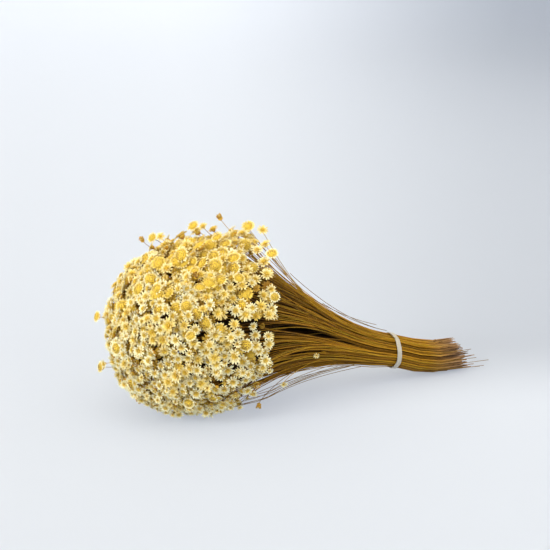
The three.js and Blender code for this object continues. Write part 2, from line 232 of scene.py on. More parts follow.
# ---- Meshes and materials ----
class Heap:
    """Gathers closed shapes in one mesh: points in millimetres, triangles, material numbers and values."""

    def __init__(self):
        self.points, self.triangles, self.finishes = [], [], []
        self.values = {"along": [], "tint": [], "warmth": []}
        self.count = 0

    def add(self, points, triangles, finish, along, tint, warmth):
        """Adds shapes (N, P, 3) that share the triangles (T, 3) of one closed shape. The values are (N, P)
        or broadcast to that. The triangles are turned so that their volume, the sum of a . (b x c), is
        positive."""
        if not len(points):
            return
        a, b, c = (points[:, triangles[:, i]] for i in range(3))
        if np.einsum("nti,nti->", a, np.cross(b, c)) < 0:
            triangles = triangles[:, ::-1]
        starts = self.count + points.shape[1] * np.arange(len(points))
        self.triangles.append((triangles[None] + starts[:, None, None]).reshape(-1, 3))
        self.finishes.append(np.full(len(points) * len(triangles), finish, np.int32))
        self.points.append(points.reshape(-1, 3))
        for name, value in (("along", along), ("tint", tint), ("warmth", warmth)):
            self.values[name].append(np.broadcast_to(value, points.shape[:2]).ravel())
        self.count += points.shape[0] * points.shape[1]

    def piece(self, name, materials, flat=()):
        """The finished object, in metres, at the origin of the frame. The materials numbered in flat aren't
        shaded smooth."""
        mesh = bpy.data.meshes.new(name)
        points = np.concatenate(self.points) + (TIE_X, TIE_Y, 0)
        triangles = np.concatenate(self.triangles)
        mesh.vertices.add(len(points))
        mesh.vertices.foreach_set("co", (points * MM).astype(np.float32).ravel())
        mesh.loops.add(triangles.size)
        mesh.loops.foreach_set("vertex_index", triangles.astype(np.int32).ravel())
        mesh.polygons.add(len(triangles))
        mesh.polygons.foreach_set("loop_start", np.arange(0, triangles.size, 3, dtype=np.int32))
        for material in materials:
            mesh.materials.append(material)
        finishes = np.concatenate(self.finishes)
        mesh.polygons.foreach_set("material_index", finishes)
        mesh.polygons.foreach_set("use_smooth", ~np.isin(finishes, flat))
        for name_of_value, parts in self.values.items():
            attribute = mesh.attributes.new(name_of_value, "FLOAT", "POINT")
            attribute.data.foreach_set("value", np.concatenate(parts).astype(np.float32))
        mesh.update(calc_edges=True)
        mesh.validate()
        made = bpy.data.objects.new(name, mesh)
        bpy.context.scene.collection.objects.link(made)
        return made


def spindle(rings, sides):
    """Triangles (2 * rings * sides, 3) of a closed shape: a first point, rings of points, a last point."""
    j = np.arange(sides)
    k = (j + 1) % sides
    parts = [np.stack([0 * j, 1 + k, 1 + j], 1)]
    for ring in range(rings - 1):
        a = 1 + ring * sides
        parts.append(np.stack([a + j, a + k, a + sides + k], 1))
        parts.append(np.stack([a + j, a + sides + k, a + sides + j], 1))
    a = 1 + (rings - 1) * sides
    parts.append(np.stack([a + j, a + k, 0 * j + 1 + rings * sides], 1))
    return np.concatenate(parts)


def unit(vectors):
    """The vectors, each with length 1."""
    return vectors / np.linalg.norm(vectors, axis=-1, keepdims=True)


def tubes(paths, radii, sides):
    """Closed tubes (N, P, 3) along paths (N, S, 3). Ring point: p + r cos(a) m + r sin(a) (t x m), where t
    is the path's direction and m the direction square to t that lies nearest to one square to the whole
    chord."""
    direction = unit(np.gradient(paths, axis=1))
    chord = unit(paths[:, -1] - paths[:, 0])
    helper = np.where(np.abs(chord[:, :1]) < 0.8, [[1.0, 0, 0]], [[0, 0, 1.0]])
    m = unit(np.cross(chord, helper))[:, None]
    m = unit(m - np.sum(m * direction, -1, keepdims=True) * direction)
    n = np.cross(direction, m)
    turn = 2 * math.pi * np.arange(sides) / sides
    radii = np.broadcast_to(radii, paths.shape[:2])[:, :, None, None]
    around = np.cos(turn)[:, None] * m[:, :, None] + np.sin(turn)[:, None] * n[:, :, None]
    rings = (paths[:, :, None] + radii * around).reshape(len(paths), -1, 3)
    return np.concatenate([paths[:, :1], rings, paths[:, -1:]], 1)


def along_tubes(values, sides):
    """Values (S,) or (N, S) along a tube's path, spread over its points."""
    values = np.atleast_2d(values)
    rings = np.repeat(values, sides, axis=1)
    return np.concatenate([values[:, :1], rings, values[:, -1:]], 1)


def add_node(tree, kind, inputs=None, output=0, **properties):
    """Adds one node with its properties, and gives its output of that name or number. Each input takes a
    value, or the output that is linked to it."""
    made = tree.nodes.new(kind)
    for name, value in properties.items():
        setattr(made, name, value)
    for name, value in (inputs or {}).items():
        if isinstance(value, bpy.types.NodeSocket):
            tree.links.new(value, made.inputs[name])
        else:
            made.inputs[name].default_value = value
    return made.outputs[output] if made.outputs else None


# A mix node blends its colours 6 and 7 by the factor 0, or multiplies them. Its output 2 is a colour.
BLEND = {"data_type": "RGBA", "output": 2}
PRODUCT = {"data_type": "RGBA", "blend_type": "MULTIPLY", "output": 2}


def new_material(name, values):
    """An empty material, its node tree, and the outputs that give those values of the mesh."""
    material = bpy.data.materials.new(name)
    material.use_nodes = True
    tree = material.node_tree
    tree.nodes.clear()
    read = [add_node(tree, "ShaderNodeAttribute", output="Fac", attribute_name=value) for value in values]
    return material, tree, *read


def opaque(colour):
    """The colour with an alpha of 1."""
    return (*colour, 1.0)


def papery_bract(s):
    """Dry papery bract of an everlasting flower: thin, stiff and matt with a faint silky gloss, ivory to
    cream at the tip and golden where it comes out of the cup, and painted amber brown as shade on the
    deeper flowers. The warmth is per flower, tint per bract, and along runs from foot to tip."""
    material, tree, along, tint, warmth = new_material("papery bract", ["along", "tint", "warmth"])
    place = add_node(tree, "ShaderNodeTexCoord", output="Object")
    # Blotches 1.5 mm across, as the bracts fade unevenly.
    blotch = add_node(tree, "ShaderNodeTexNoise", {"Vector": place, "Scale": 650.0, "Detail": 2.0})
    tones = {0: warmth, 6: opaque(s.cream), 7: opaque(s.straw_yellow)}
    tip = add_node(tree, "ShaderNodeMix", tones, **BLEND)
    run = {0: along, 1: 0.12, 2: 0.62}
    pale = add_node(tree, "ShaderNodeMapRange", run, interpolation_type="SMOOTHSTEP")
    body = add_node(tree, "ShaderNodeMix", {0: pale, 6: opaque(s.golden), 7: tip}, **BLEND)
    # A warmth above 1 belongs to flowers deeper in the bunch, which are painted browner as shade.
    deep_shade = add_node(tree, "ShaderNodeMapRange", {0: warmth, 1: 0.8, 2: 2.0, 3: 0.0, 4: 0.9})
    body = add_node(tree, "ShaderNodeMix", {0: deep_shade, 6: body, 7: opaque(s.amber)}, **BLEND)
    # Tint 0 to 1 and the blotches together shade a bract between about 70 and 100 percent.
    shade = add_node(tree, "ShaderNodeMath", {0: tint, 1: 0.24, 2: 0.6}, operation="MULTIPLY_ADD")
    shade = add_node(tree, "ShaderNodeMath", {0: blotch, 1: 0.3, 2: shade}, operation="MULTIPLY_ADD")
    colour = add_node(tree, "ShaderNodeMix", {0: 1.0, 6: body, 7: shade}, **PRODUCT)
    # The veins are finer than would show, so the grain is drawn 0.5 mm across.
    grain = add_node(tree, "ShaderNodeTexNoise", {"Vector": place, "Scale": 2000.0, "Detail": 1.0})
    bump = add_node(tree, "ShaderNodeBump", {"Strength": 0.35, "Distance": 0.0002, "Height": grain})
    finish = {
        "Base Color": colour,
        "Roughness": 0.55,
        "Specular IOR Level": 0.25,
        "Subsurface Weight": 0.15,
        "Subsurface Radius": (1.0, 0.8, 0.5),
        "Subsurface Scale": 0.002,
        "Normal": bump,
    }
    shader = add_node(tree, "ShaderNodeBsdfPrincipled", finish)
    add_node(tree, "ShaderNodeOutputMaterial", {"Surface": shader})
    return material


def floret_disc(s):
    """Dry floret head: dense tubular florets, rough like felt, golden in the large flowers (warmth 1)
    and ochre brown in the small ones, and lighter on its crown (along is 1 there) than down its side, a
    painted shade."""
    material, tree, along, tint, warmth = new_material("floret disc", ["along", "tint", "warmth"])
    place = add_node(tree, "ShaderNodeTexCoord", output="Object")
    # Florets 0.7 mm apart, darker between them.
    florets = add_node(tree, "ShaderNodeTexVoronoi", {"Vector": place, "Scale": 1400.0}, output="Distance")
    dark = add_node(tree, "ShaderNodeMapRange", {0: florets, 1: 0.1, 2: 0.7, 3: 1.0, 4: 0.8})
    base = add_node(tree, "ShaderNodeMix", {0: warmth, 6: opaque(s.ochre), 7: opaque(s.golden)}, **BLEND)
    shade = add_node(tree, "ShaderNodeMath", {0: tint, 1: 0.2, 2: 0.82}, operation="MULTIPLY_ADD")
    shade = add_node(tree, "ShaderNodeMath", {0: dark, 1: shade}, operation="MULTIPLY")
    # Painted shade: the side of the head is up to 15 percent darker than its crown.
    shade = add_node(tree, "ShaderNodeMath", {0: along, 1: 0.15, 2: shade}, operation="MULTIPLY_ADD")
    colour = add_node(tree, "ShaderNodeMix", {0: 1.0, 6: base, 7: shade}, **PRODUCT)
    raised = {"Strength": 0.7, "Distance": 0.0003, "Height": florets}
    bump = add_node(tree, "ShaderNodeBump", raised, invert=True)
    finish = {"Base Color": colour, "Roughness": 0.8, "Normal": bump, "Sheen Weight": 0.15}
    shader = add_node(tree, "ShaderNodeBsdfPrincipled", finish)
    add_node(tree, "ShaderNodeOutputMaterial", {"Surface": shader})
    return material


def dry_cup(s):
    """Dry scales of the cup under a flower: leathery and a little glossy, amber brown at the straw and
    golden at the rim (along is 1 there)."""
    material, tree, along, tint = new_material("dry cup", ["along", "tint"])
    place = add_node(tree, "ShaderNodeTexCoord", output="Object")
    # Scales about 1 mm wide.
    scales = add_node(tree, "ShaderNodeTexNoise", {"Vector": place, "Scale": 1000.0, "Detail": 2.0})
    rim = add_node(tree, "ShaderNodeMix", {0: along, 6: opaque(s.amber), 7: opaque(s.golden)}, **BLEND)
    shade = add_node(tree, "ShaderNodeMath", {0: scales, 1: 0.7, 2: 0.4}, operation="MULTIPLY_ADD")
    shade = add_node(tree, "ShaderNodeMath", {0: tint, 1: 0.35, 2: shade}, operation="MULTIPLY_ADD")
    colour = add_node(tree, "ShaderNodeMix", {0: 1.0, 6: rim, 7: shade}, **PRODUCT)
    bump = add_node(tree, "ShaderNodeBump", {"Strength": 0.5, "Distance": 0.0003, "Height": scales})
    finish = {"Base Color": colour, "Roughness": 0.5, "Normal": bump}
    shader = add_node(tree, "ShaderNodeBsdfPrincipled", finish)
    add_node(tree, "ShaderNodeOutputMaterial", {"Surface": shader})
    return material


def dry_straw(s):
    """Dry flower straw: smooth, waxy and faintly glossy, golden brown with some olive straws, painted
    darker brown deeper in the bunch as shade (warmth falls from 1 outside to 0 inside), and red
    brown at the weathered cut ends (along is 0)."""
    material, tree, along, tint, warmth = new_material("dry straw", ["along", "tint", "warmth"])
    place = add_node(tree, "ShaderNodeTexCoord", output="Object")
    # Streaks run along the straws: 14 mm long and 0.7 mm wide.
    stretched = add_node(tree, "ShaderNodeMapping", {"Vector": place, "Scale": (70, 1400, 1400)})
    streaks = add_node(tree, "ShaderNodeTexNoise", {"Vector": stretched, "Scale": 1.0, "Detail": 2.0})
    sort = add_node(tree, "ShaderNodeMapRange", {0: tint, 1: 0.55})
    tones = {0: sort, 6: opaque(s.golden_brown), 7: opaque(s.olive)}
    fresh = add_node(tree, "ShaderNodeMix", tones, **BLEND)
    # Painted shade: the straws deeper in the bunch fade to dark brown.
    body = add_node(tree, "ShaderNodeMix", {0: warmth, 6: opaque(s.dark_brown), 7: fresh}, **BLEND)
    weathered = add_node(tree, "ShaderNodeMapRange", {0: along, 1: 0.03, 2: 0.12, 3: 0.8, 4: 0.0})
    body = add_node(tree, "ShaderNodeMix", {0: weathered, 6: body, 7: opaque(s.red_brown)}, **BLEND)
    shade = add_node(tree, "ShaderNodeMath", {0: streaks, 1: 0.8, 2: -0.12}, operation="MULTIPLY_ADD")
    shade = add_node(tree, "ShaderNodeMath", {0: tint, 1: 1.45, 2: shade}, operation="MULTIPLY_ADD")
    colour = add_node(tree, "ShaderNodeMix", {0: 1.0, 6: body, 7: shade}, **PRODUCT)
    bump = add_node(tree, "ShaderNodeBump", {"Strength": 0.3, "Distance": 0.0002, "Height": streaks})
    finish = {"Base Color": colour, "Roughness": 0.5, "Specular IOR Level": 0.15, "Normal": bump}
    shader = add_node(tree, "ShaderNodeBsdfPrincipled", finish)
    add_node(tree, "ShaderNodeOutputMaterial", {"Surface": shader})
    return material


def covered_elastic(s):
    """Flat elastic band: rubber threads covered with natural white cotton yarn, matt, with ribs 0.7 mm
    apart along the band. Along runs across the band's width."""
    material, tree, along = new_material("covered elastic", ["along"])
    place = add_node(tree, "ShaderNodeTexCoord", output="Object")
    ribs = add_node(tree, "ShaderNodeMath", {0: along, 1: 14 * math.pi}, operation="MULTIPLY")
    ribs = add_node(tree, "ShaderNodeMath", {0: ribs}, operation="SINE")
    yarn = add_node(tree, "ShaderNodeTexNoise", {"Vector": place, "Scale": 1500.0, "Detail": 2.0})
    height = add_node(tree, "ShaderNodeMath", {0: yarn, 1: 1.2, 2: ribs}, operation="MULTIPLY_ADD")
    shade = add_node(tree, "ShaderNodeMath", {0: height, 1: 0.05, 2: 0.92}, operation="MULTIPLY_ADD")
    colour = add_node(tree, "ShaderNodeMix", {0: 1.0, 6: opaque(s.colour), 7: shade}, **PRODUCT)
    bump = add_node(tree, "ShaderNodeBump", {"Strength": 0.5, "Distance": 0.0003, "Height": height})
    finish = {"Base Color": colour, "Roughness": 0.85, "Normal": bump, "Sheen Weight": 0.2}
    shader = add_node(tree, "ShaderNodeBsdfPrincipled", finish)
    add_node(tree, "ShaderNodeOutputMaterial", {"Surface": shader})
    return material


# ---- The form of the bunch ----
def dice(seed):
    """Random numbers, the same in every run: x becomes 1664525 x + 1013904223, modulo 2^32."""
    state = seed
    while True:
        state = (state * 1664525 + 1013904223) % 4294967296
        yield state / 4294967296


def ease(x):
    """0 below 0, 1 above 1, and x^2 (3 - 2x) between."""
    x = np.clip(x, 0, 1)
    return x * x * (3 - 2 * x)


def cubic(t, run, a, slope_a, b, slope_b):
    """Cubic from height a to height b with those slopes, for t from 0 to 1 over a run of that length: an
    ease from a to b, plus run t (1 - t) times the slopes weighed by 1 - t and -t."""
    return a + (b - a) * t * t * (3 - 2 * t) + run * t * (1 - t) * (slope_a * (1 - t) - slope_b * t)


def axis_height(reach):
    """Height of the bunch's axis: level at the cut ends, rising through the band, and level in the dome."""
    tail = cubic(
        np.clip(1 - reach / CUT_LEVEL_REACH, 0, 1), -CUT_LEVEL_REACH, CUT_HEIGHT, 0, TIE_HEIGHT, TIE_SLOPE
    )
    head = cubic(
        np.clip(reach / DOME_LEVEL_REACH, 0, 1), DOME_LEVEL_REACH, TIE_HEIGHT, TIE_SLOPE, DOME_HEIGHT, 0
    )
    return np.where(reach < 0, tail, head)


def at(reach, radius, turn):
    """The point at a reach, a distance r from the axis and a turn a round it: w r cos(a) across, where w
    is the share of the width, and r sin(a) above the axis."""
    reach, radius, turn = np.broadcast_arrays(reach, radius, turn)
    across = radius * DOME_WIDTH_SHARE * np.cos(turn)
    return np.stack([-reach, across, axis_height(reach) + radius * np.sin(turn)], -1)


def widest(turn):
    """Reach of the widest ring: the ring leans back on top of the bunch, by a sin(turn) + b sin(turn)^2."""
    return WIDEST_REACH - WIDEST_TILT * np.sin(turn) - WIDEST_BACK * np.sin(turn) ** 2


def fan_radius(reach, turn):
    """Radius of the straws: nearly even from the cut ends to the band, pinched under it, then flaring like
    a broom, by a t + (1 - a) t^p."""
    waist = WAIST * np.maximum(1 - np.abs(reach) / WAIST_LENGTH, 0)
    tail = TIE_RADIUS + (CUT_RADIUS - TIE_RADIUS) * np.sqrt(np.clip(reach / CUT_REACH, 0, 1))
    t = np.clip(reach / (FLARE_REACH - FLARE_SOONER * np.sin(turn) ** 2), 0, 1)
    flare = FLARE_LINEAR * t + (1 - FLARE_LINEAR) * t**FLARE_POWER
    return np.where(reach < 0, tail, TIE_RADIUS + (DOME_RADIUS - TIE_RADIUS) * flare) - waist


def dome(psi, turn):
    """Reach and radius of the flower dome: a blunt ellipse, with cos(psi)^(2 / bluntness), in front of the
    widest ring, and a rim that runs back behind it."""
    c = np.cos(psi)
    front = (DOME_REACH - widest(turn)) * np.maximum(c, 0) ** (2 / DOME_BLUNTNESS)
    return widest(turn) + np.where(c > 0, front, RIM_BACK * c), DOME_RADIUS * np.sin(psi)


def leaning(lean, turn):
    """The direction that leans away from the axis towards a turn: (-cos l, sin l cos t, sin l sin t)."""
    lean, turn = np.broadcast_arrays(lean, turn)
    return np.stack([-np.cos(lean), np.sin(lean) * np.cos(turn), np.sin(lean) * np.sin(turn)], -1)


def top_stand(psi, turn):
    """How much further the flowers on top of the bunch stand out: a bell over the turn times an ease in
    psi."""
    bell = np.exp(-(((turn - math.pi / 2 + math.pi) % (2 * math.pi) - math.pi) / math.radians(38)) ** 2)
    return TOP_STAND * bell * ease((psi - math.radians(50)) / math.radians(25))


def lumps(points):
    """How far the flowers between the large ones stand out: 2.4 sin(a . p) sin(b . p + 1) + 1.4 sin(c . p),
    in waves of about 40 mm and 25 mm."""
    a, b, c = (0.11, 0.1, 0.05), (-0.06, 0.09, 0.12), (0.16, -0.12, 0.15)
    return 2.4 * np.sin(points @ a) * np.sin(points @ b + 1) + 1.4 * np.sin(points @ c)


def equal_shares(count):
    """psi of places that share the dome's surface equally: the running area 2 pi r ds, cut evenly."""
    psi = np.linspace(0, RIM_PSI, 241)
    reach, radius = dome(psi, math.pi)
    strips = np.hypot(np.diff(reach), np.diff(radius)) * (radius[1:] + radius[:-1])
    area = np.concatenate([[0], np.cumsum(strips)])
    return np.interp((np.arange(count) + 0.5) / count * area[-1], area, psi)


def rise(points):
    """0 low and near the straws, 1 high up and in front: an ease over z - 0.35 x, from 60 to 190 mm."""
    return ease((points[:, 2] - 0.35 * points[:, 0] - 60) / 130)


def large_flowers():
    """Place, facing, spin, psi and turn of the large flowers, on the CAD model's golden-angle spiral."""
    roll = dice(7)
    found = []

    def plant(psi, turn, out):
        """One flower: it leans out by a share of psi, stands out that way, and its facing is scattered."""
        face = leaning(FACING_SHARE * psi, turn)
        place = at(*dome(psi, turn), turn) + face * (out + top_stand(psi, turn))
        face = unit(face + 2 * FACING_SCATTER * (np.array([next(roll) for _ in range(3)]) - 0.5))
        found.append((place, face, next(roll) * 2 * math.pi, psi, turn))

    for psi, turn, out in STRAYS:
        plant(math.radians(psi), math.radians(turn), out)
    for k, psi in enumerate(equal_shares(FLOWERS)):
        psi = max(psi + (next(roll) - 0.5) * PLACE_SCATTER / DOME_RADIUS, 0)
        turn = k * GOLDEN_TURN + (next(roll) - 0.5) * PLACE_SCATTER / max(dome(psi, 0)[1], 12)
        plant(psi, turn, -FLOWER_DEPTH if k % 2 else -next(roll))
    return [np.array(column) for column in zip(*found)]


def crowns():
    """Middles of the sprays, on a golden-angle spiral over the dome."""
    turn = np.arange(SPRAYS) * GOLDEN_TURN
    return at(*dome(equal_shares(SPRAYS), turn), turn)


def grow_flowers(s):
    """All flowers, as a dictionary of arrays. Between the large flowers, smaller ones are tried on a denser
    spiral in three layers, and kept where no neighbour is nearer than a share of the two radii."""
    rng = np.random.default_rng(11)
    place, face, spin, psi, turn = large_flowers()
    strays, count = len(STRAYS), len(place)
    largest, smallest = s.largest / MM, s.smallest / MM
    # The large flowers are smaller low down and at the rim.
    radius = largest * (0.62 + 0.38 * rng.uniform(0, 1, count) ** 1.4)
    radius *= 0.84 + 0.16 * rise(place)
    radius *= 1 - 0.3 * ease((psi - math.radians(84)) / 0.2)
    radius[:strays] = rng.uniform(4.5, 5.6, strays)
    face[:strays] = unit(face[:strays] + 1.5 * np.array(TOWARDS_LIGHT))
    tries_each = 3500
    tries = 3 * tries_each
    layer = np.repeat([0, 1, 2], tries_each)
    more_turn = np.arange(tries) * GOLDEN_TURN + rng.uniform(0, 6.3, tries)
    # The rim is uneven: it waves 3 and 9 times round the bunch.
    rim = RIM_PSI - 0.12 - 0.07 * np.cos(3 * (more_turn - math.radians(125))) + 0.04 * np.sin(9 * more_turn)
    more_psi = np.tile(equal_shares(tries_each), 3) + rng.normal(0, 0.035, tries)
    more_psi = np.clip(more_psi, 0.01, rim - rng.uniform(0, 0.12, tries))
    # How deep each layer lies: 0 to 5 mm, 4 to 9 mm and 9 to 14 mm.
    out = -rng.uniform([0, 4, 9], [5, 9, 14], (tries_each, 3)).T.ravel()
    more_face = leaning(FACING_SHARE * more_psi, more_turn)
    surface = at(*dome(more_psi, more_turn), more_turn)
    surface[:, 2] -= SAG * ease((SAG_BELOW - surface[:, 2]) / SAG_BELOW)
    out += 0.3 * top_stand(more_psi, more_turn) + lumps(surface)
    more_place = surface + more_face * out[:, None]
    more_face = unit(more_face + TOWARDS_LIGHT + rng.uniform(-0.6, 0.6, (tries, 3)))
    # Near the straws the flowers stand further apart.
    nearness = rng.uniform(0.52, 0.72, tries) + 0.16 * ease((more_psi - math.radians(72)) / 0.4)
    # The flowers low down and near the straws are the smallest.
    most = np.array([0.74, 0.7, 0.66])[layer] * largest
    more_radius = (0.85 + 0.15 * rise(surface)) * rng.uniform(smallest, most)
    openings = np.array(OPENINGS, float)
    apart = np.linalg.norm(surface[:, None] - openings[:, :3], axis=2)
    covered = np.all(apart > openings[:, 3], axis=1)
    kept = []
    centres, sizes = place.copy(), radius.copy()
    for i in np.lexsort((-more_radius, layer)):
        if not covered[i]:
            continue
        if len(kept) >= s.between:
            break
        # Room beside a flower counts in full, and room in front of it or behind it for 60 percent.
        apart = centres - more_place[i]
        deeper = apart @ more_face[i]
        aside = np.sqrt(np.maximum(np.sum(apart * apart, 1) - deeper**2, 0))
        room = aside + 0.6 * np.abs(deeper)
        if np.all(room > nearness[i] * (sizes + more_radius[i])):
            kept.append(i)
            centres = np.vstack([centres, more_place[i]])
            sizes = np.append(sizes, more_radius[i])
    kept = np.array(kept)
    grown = {
        "place": np.vstack([place, more_place[kept]]),
        "face": np.vstack([face, more_face[kept]]),
        "spin": np.append(spin, rng.uniform(0, 6.3, len(kept))),
        "psi": np.append(psi, more_psi[kept]),
        "turn": np.append(turn, more_turn[kept]) % (2 * math.pi),
        "radius": sizes,
        "layer": np.append(np.zeros(count, int), layer[kept]),
    }
    reach, turn, out, radius = np.array(FAN_FLOWERS).T
    turn = np.radians(turn)
    count = len(turn)
    fan = {
        "place": at(reach, fan_radius(reach, turn) + out, turn),
        "face": unit(leaning(1.2, turn) + rng.uniform(-0.3, 0.3, (count, 3))),
        "spin": rng.uniform(0, 6.3, count),
        "psi": np.full(count, RIM_PSI),
        "turn": turn,
        "radius": radius,
        "layer": np.zeros(count, int),
    }
    grown = {name: np.concatenate([value, fan[name]]) for name, value in grown.items()}
    total = len(grown["turn"])
    # Flowers that face up are yellower, those that face down are cream, and the deeper layers are painted
    # browner as shade.
    sunny = ease((grown["face"] @ unit(np.array([0.15, -0.2, 1.0])) + 0.5) / 1.3)
    grown["warmth"] = np.clip(0.5 * sunny + rng.normal(0, 0.2, total), 0, 1) + 0.5 * grown["layer"]
    # The large golden ones stand together in a patch, with a few others between the cream ones.
    patch = np.exp(-np.sum((grown["place"] - GOLDEN_PATCH) ** 2, 1) / GOLDEN_PATCH_RADIUS**2)
    chance = rng.uniform(0, 1, total)
    kind = np.where(grown["radius"] > 4.6, STAR, SMALL)
    # Chance: the lowest part of it makes a golden flower, and the highest a bud.
    wide = (grown["radius"] > 4.0) & (grown["layer"] < 2)
    kind[wide & (chance < 0.05 + 0.08 * sunny + 0.6 * patch)] = GOLDEN
    kind[(chance > 0.97) | ((grown["layer"] == 2) & (chance > 0.6))] = BUD
    kind[:strays] = np.resize([GOLDEN, STAR, GOLDEN, STAR, BUD], strays)
    grown["kind"] = kind
    wider = np.clip(1.25 * grown["radius"], 5.2, largest)
    grown["radius"] = np.where(kind == GOLDEN, wider, grown["radius"])
    # How far a flower is open: 1 is wide open.
    grown["open"] = np.clip(rng.normal(0.88, 0.14, total), 0.35, 1)
    # Above the table, also with the edge of a flower that faces sideways.
    down = -grown["face"][:, 2]
    edge = grown["radius"] * (1.09 * np.sqrt(1 - down**2) + 0.5 * np.abs(down))
    grown["place"][:, 2] = np.maximum(grown["place"][:, 2], edge + 0.6)
    nearest = np.linalg.norm(grown["place"][:, None] - crowns()[None], axis=2)
    grown["spray"] = np.argmin(nearest, axis=1)
    grown["tint"] = rng.uniform(0, 1, total)
    return grown


def straw_paths(grown, rng):
    """Centre lines (N, 15, 3) of the straws, from the cut end to the flower's cup. Up to a reach of about
    half the flower's, a straw keeps its share of the fan's radius. From there a Hermite curve,
    p0 h00 + m0 h10 + p1 h01 + m1 h11, leads it into the flower from behind."""
    count = len(grown["psi"])
    # Each straw has as much room in the fan as the next, and those of the front flowers are in the middle.
    rank = np.empty(count)
    rank[np.argsort(grown["psi"] + 0.004 * grown["layer"])] = np.arange(count)
    share = 0.985 * np.sqrt((rank + 0.5) / count)
    foot = grown["place"] + grown["face"] * (CUP_FOOT * grown["radius"])[:, None]
    last = np.minimum(np.clip(-0.52 * foot[:, 0], 72, 132), -0.6 * foot[:, 0])
    # The lower straws end further out than the upper ones, and one in ten juts out.
    longer = rng.uniform(0, 1, count)
    low = -share * np.sin(grown["turn"])
    end = CUT_REACH + 4 - 6 * low - 24 * rng.uniform(0, 1, count) ** 1.5
    end -= np.where(longer > 0.9, rng.uniform(2, 20, count) * (0.7 + 0.6 * low), 0)
    # Reaches of the points: the cut end, four through the tail and the band, and four up the fan.
    fixed = np.array([CUT_LEVEL_REACH, -26, -5, 5])
    free = last[:, None] * np.array([0.28, 0.52, 0.76, 1])
    reach = np.concatenate([end[:, None], np.broadcast_to(fixed, (count, 4)), free], 1)
    # A straw wanders a little, and crosses its neighbours between the band and the flowers.
    swing = rng.normal(0, 0.14, count) / np.maximum(share, 0.35)
    spread = np.interp(reach, [-90, -5, 5, 60, 120], [1, 1, 1, 0.7, 0.15])
    turn = grown["turn"][:, None] + swing[:, None] * spread
    depth = 1 - 0.12 * rng.uniform(0, 1, count)
    wander = depth[:, None] + rng.normal(0, 0.014, reach.shape)
    radius = share[:, None] * wander * fan_radius(reach, turn)
    # Each parting pushes the straws aside, less and less over about 13 degrees.
    for parting, half in PARTINGS:
        aside = (turn - math.radians(parting) + math.pi) % (2 * math.pi) - math.pi
        opening = half * np.interp(reach, [50, 95, 130], [0, 0.6, 1.6])
        opening /= np.maximum(fan_radius(reach, turn), 1)
        turn = turn + np.sign(aside) * opening * np.exp(-np.abs(aside) / 0.22)
    # The cut ends splay.
    splay = np.where(longer > 0.9, 3.5, 1.8) * (rng.uniform(-1.4, 0.4, count) + 0.9 * np.maximum(low, 0))
    radius[:, 0] += splay
    first = at(reach, radius, turn)
    start = first[:, -1]
    tangent = unit(first[:, -1] - first[:, -2])
    # The slopes of the curve at its two ends grow with the gap that it bridges.
    gap = np.linalg.norm(foot - start, axis=1)[:, None]
    m0 = tangent * gap * 1.05
    m1 = grown["face"] * gap * 0.45 + tangent * gap * 0.35
    t = np.array([0.2, 0.4, 0.6, 0.78, 0.92, 1])[None, :, None]
    curve = (
        start[:, None] * (2 * t**3 - 3 * t**2 + 1)
        + m0[:, None] * (t**3 - 2 * t**2 + t)
        + foot[:, None] * (3 * t**2 - 2 * t**3)
        + m1[:, None] * (t**3 - t**2)
    )
    paths = np.concatenate([first, curve], 1)
    paths[:, :, 2] = np.maximum(paths[:, :, 2], STRAW_CLEARANCE + 0.05)
    return paths, share * depth


# ---- Flowers ----
# A whorl: bracts, height and distance from the middle of their feet, length, lean at the foot and at the
# tip when open (degrees from the flower's axis), half width, rings of points, how pale the tip gets, and
# material. Lengths are shares of the flower's radius.
WHORLS = {
    STAR: [
        (12, -0.03, 0.24, 0.80, 66, 99, 0.15, 3, 1.0, BRACT),
        (10, 0.03, 0.20, 0.60, 48, 72, 0.13, 2, 0.8, BRACT),
        (6, 0.07, 0.15, 0.34, 20, 42, 0.11, 2, 0.4, BRACT),
    ],
    GOLDEN: [
        (15, -0.02, 0.54, 0.48, 74, 100, 0.12, 2, 1.0, BRACT),
        (13, 0.03, 0.52, 0.36, 78, 96, 0.13, 2, 0.8, BRACT),
        (11, 0.13, 0.30, 0.22, 58, 86, 0.11, 2, 1.0, DISC),
        (7, 0.19, 0.14, 0.18, 36, 62, 0.11, 2, 1.0, DISC),
    ],
    SMALL: [
        (9, -0.02, 0.24, 0.80, 62, 97, 0.18, 3, 1.1, BRACT),
        (7, 0.04, 0.18, 0.54, 38, 62, 0.17, 2, 0.8, BRACT),
    ],
    BUD: [
        (8, -0.05, 0.36, 0.80, 24, 16, 0.19, 2, 0.6, CUP),
        (5, 0.05, 0.20, 0.62, 12, 4, 0.16, 2, 0.8, BRACT),
    ],
}
# Radius, height and foot of the middle, as shares of the flower's radius.
MIDDLES = {
    STAR: (0.22, 0.13, 0.08),
    GOLDEN: (0.62, 0.20, 0.05),
    SMALL: (0.22, 0.12, 0.08),
    BUD: (0.30, 0.4, 0.0),
}
# Radius of the cup's rim, as a share of the flower's radius.
CUPS = {STAR: 0.38, GOLDEN: 0.56, SMALL: 0.38, BUD: 0.46}
# Height of the cup's foot, where the straw ends, as a share of the same radius.
CUP_FOOT = -0.52


def axes_of(face):
    """Two directions square to each facing f: u = X x f, or Y x f where f is near X, and f x u."""
    helper = np.where(np.abs(face[:, :1]) < 0.8, [[1.0, 0, 0]], [[0, 1.0, 0]])
    u = unit(np.cross(helper, face))
    return u, np.cross(face, u)


